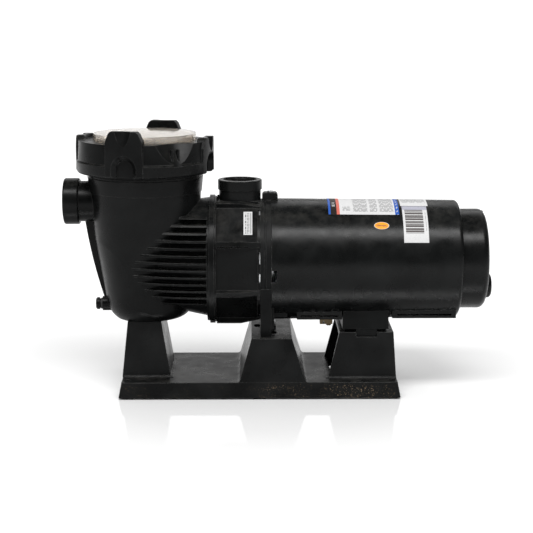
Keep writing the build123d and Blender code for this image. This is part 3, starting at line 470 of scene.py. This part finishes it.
def text(u, v, pitch=2.0, seed=3):
    """Whether a mark of unreadable print covers this place; lines are pitch mm apart.

    The seed picks which marks are left out as gaps.
    """
    row, column = int(v / pitch), int(u / LETTER)
    return v % pitch < 0.5 * pitch and (column * 7 + row * 13 + column * column * seed) % 11 > 2


def rating_ink(u, v):
    """Blue, black and red bands at the left, blocks of print, and a blue band at the right."""
    if u < BLUE_END:
        return "blue"
    if u < BLACK_END:
        return "paper" if inside(u, v, BLACK_BAND_BLOCK) and text(u, v) else "black"
    if u < RED_END:
        return "red"
    if u > LAST_BLUE:
        in_word = LAST_BLUE + 2 < u < LAST_BLUE + 4 and v % 9 < 6
        return "paper" if in_word and text(u, v, 1.6) else "blue"
    in_print = any(inside(u, v, block) for block in RATING_BLOCKS)
    return "grey" if in_print and text(u, v) else "paper"


def notice_ink(u, v):
    """One block of print."""
    return "grey" if inside(u, v, NOTICE_BLOCK) and text(u, v, 2.4, 5) else "paper"


def volute_ink(u, v):
    """One block of print whose lines run round the shaft."""
    return "grey" if inside(u, v, VOLUTE_BLOCK) and text(v, u, 2.2, 5) else "paper"


BARS_START, BARS_END = BARS_BLOCK[2:]
BAR_STEPS_PER_MM = 2
random.seed(11)
BARS = []
while len(BARS) < BAR_STEPS_PER_MM * (BARS_END - BARS_START) + 2:
    BARS += [True] * random.choice((3, 4, 6)) + [False] * random.choice((1, 2, 3))


def bar_ink(u, v):
    """Meaningless bars along X, between a tinted band and a line of print."""
    if inside(u, v, BARS_BLOCK):
        return "bars" if BARS[int(BAR_STEPS_PER_MM * (v - BARS_START))] else "paper"
    if inside(u, v, BARS_SIDE_BLOCK) and text(v, u, 2.0, 7):
        return "grey"
    return "lilac" if v < BARS_START else "paper"


label("rating_label", shell_point, 0.0912, 0.1848, -18, 34, rating_ink)
label("notice_label", shell_point, 0.1875, 0.2240, -18, 19.6, notice_ink)
label("bar_label", shell_point, 0.1888, 0.2216, 20.2, 65.0, bar_ink)
label("volute_label", volute_point, -0.0209, -0.0093, 29.2, 56.4, volute_ink)

OVAL_X, OVAL_ANGLE = 0.1602, math.radians(47.4)     # the sticker's centre
OVAL_HALF_X, OVAL_HALF_V = 9.9 * MM, 5.6 * MM
OVAL_RINGS = (0.18, 0.36, 0.54, 0.72, 0.93, 1.0)    # shares of the half sizes; the last is the rim
OVAL_SPOKES = 48
DASH_REACH, DASH_HEIGHT = 0.62, 0.3                 # shares of the half sizes


def oval_ink(x, k, scale):
    """Pale rim, orange inside, and a row of dashes along the middle."""
    if scale == OVAL_RINGS[-1]:
        return "paper"
    height = abs(math.sin(2 * math.pi * k / OVAL_SPOKES)) * scale
    in_dash = abs(x - OVAL_X) < DASH_REACH * OVAL_HALF_X and height < DASH_HEIGHT and k % 3
    return "bars" if in_dash else "orange"


def oval_sticker():
    """Oval sticker on the shell, made of rings of faces about its centre."""
    mesh = bmesh.new()
    centre = mesh.verts.new(shell_point(OVAL_X, OVAL_ANGLE))
    previous = None
    for scale in OVAL_RINGS:
        row = []
        for k in range(OVAL_SPOKES):
            turn = 2 * math.pi * k / OVAL_SPOKES
            angle = OVAL_ANGLE + scale * OVAL_HALF_V * math.sin(turn) / SHELL_R_REAR
            x = OVAL_X + scale * OVAL_HALF_X * math.cos(turn)
            row.append(mesh.verts.new(shell_point(x, angle)))
        for k in range(OVAL_SPOKES):
            after = (k + 1) % OVAL_SPOKES
            if previous:
                face = mesh.faces.new((previous[k], previous[after], row[after], row[k]))
            else:
                face = mesh.faces.new((centre, row[after], row[k]))
            face.material_index = INK_INDEX[oval_ink(face.calc_center_median().x, k, scale)]
            face.smooth = True
        previous = row
    bmesh.ops.recalc_face_normals(mesh, faces=mesh.faces)
    printed_piece("oval_sticker", mesh)


oval_sticker()

# ---------------------------------------------------------------- floor, light and camera
FLOOR_SIZE = 24
# Darker floor tones near the pump: painted shade.
FLOOR_NEAR_SHADE = ((0.66, 0.66, 0.66), (0.69, 0.69, 0.69))
FLOOR_FAR = (0.99, 0.99, 0.99)
FLOOR_SHADE_FADE = (0.4, 2.0)        # distances between which the painted shade near the pump turns into the far tone
SHEEN = 0.32
SHEEN_FADE = (0.22, 0.75)      # distances between which the sheen dies out
SHEEN_ROUGHNESS = 0.09
SKY_STRENGTH = 1.03
SOFTBOXES = {    # place, target, size and watts
    "top_light": ((0, -0.80, 1.5), (0, 0, 0.2), (1.8, 0.4), 36),
    "rear_light": ((0.2, 1.6, 1.4), (0, 0, 0.2), (2.2, 0.8), 8),
    "backdrop_glow": ((0, 5.5, 0.9), (0, 0, 0.3), (9.0, 1.8), 50),
}
CAMERA_PLACE = (-0.0113, -1.9, 0.5306)
CAMERA_DOWN, CAMERA_RIGHT = math.radians(10.94), math.radians(0.64)
FOCAL_LENGTH, SENSOR_WIDTH = 96.2, 36    # millimetres


def stage():
    """White sweep of floor with a faint sheen, and painted shade that makes it a little darker close to
    the pump.
    """
    bpy.ops.mesh.primitive_plane_add(size=FLOOR_SIZE, location=(0, 0, 0))
    floor = bpy.context.object
    floor.name = "floor"
    look = Look("floor")
    away = look.add("ShaderNodeVectorMath", operation="LENGTH")
    look.link(look.place, away.inputs[0])
    distance = away.outputs["Value"]
    near = look.mix(look.noise(1.2, 3), *FLOOR_NEAR_SHADE)
    shade = look.mix(look.span(distance, *FLOOR_SHADE_FADE), near, FLOOR_FAR)
    look.finish(shade, 0.6, None, Specular_IOR_Level=0.0)
    polish = look.add("ShaderNodeBsdfGlossy")
    polish.inputs["Roughness"].default_value = SHEEN_ROUGHNESS
    blend = look.add("ShaderNodeMixShader")
    look.link(look.span(distance, *SHEEN_FADE, SHEEN, 0.0), blend.inputs["Fac"])
    look.link(look.shader.outputs["BSDF"], blend.inputs[1])
    look.link(polish.outputs["BSDF"], blend.inputs[2])
    look.link(blend.outputs["Shader"], look.tree.nodes["Material Output"].inputs["Surface"])
    floor.data.materials.append(look.material)


def sky():
    """Even white surroundings that glossy surfaces don't mirror."""
    world = bpy.data.worlds.new("studio")
    bpy.context.scene.world = world
    world.use_nodes = True
    background = world.node_tree.nodes["Background"]
    background.inputs["Color"].default_value = (1, 1, 1, 1)
    background.inputs["Strength"].default_value = SKY_STRENGTH
    world.cycles_visibility.glossy = False


def softbox(name, place, target, size, watts):
    """Rectangular area lamp at a place, aimed at a target."""
    light = bpy.data.lights.new(name, "AREA")
    light.shape = "RECTANGLE"
    light.size, light.size_y = size
    light.energy = watts
    lamp = bpy.data.objects.new(name, light)
    lamp.location = place
    lamp.rotation_euler = (Vector(target) - Vector(place)).to_track_quat("-Z", "Y").to_euler()
    bpy.context.scene.collection.objects.link(lamp)


def camera():
    """The photo's viewpoint."""
    lens = bpy.data.cameras.new("camera")
    lens.lens = FOCAL_LENGTH
    lens.sensor_width = SENSOR_WIDTH
    viewer = bpy.data.objects.new("camera", lens)
    viewer.location = CAMERA_PLACE
    viewer.rotation_euler = (math.radians(90) - CAMERA_DOWN, 0, -CAMERA_RIGHT)
    bpy.context.scene.collection.objects.link(viewer)
    bpy.context.scene.camera = viewer


stage()
sky()
for name, settings in SOFTBOXES.items():
    softbox(name, *settings)
camera()
bpy.context.scene.view_settings.view_transform = "Standard"
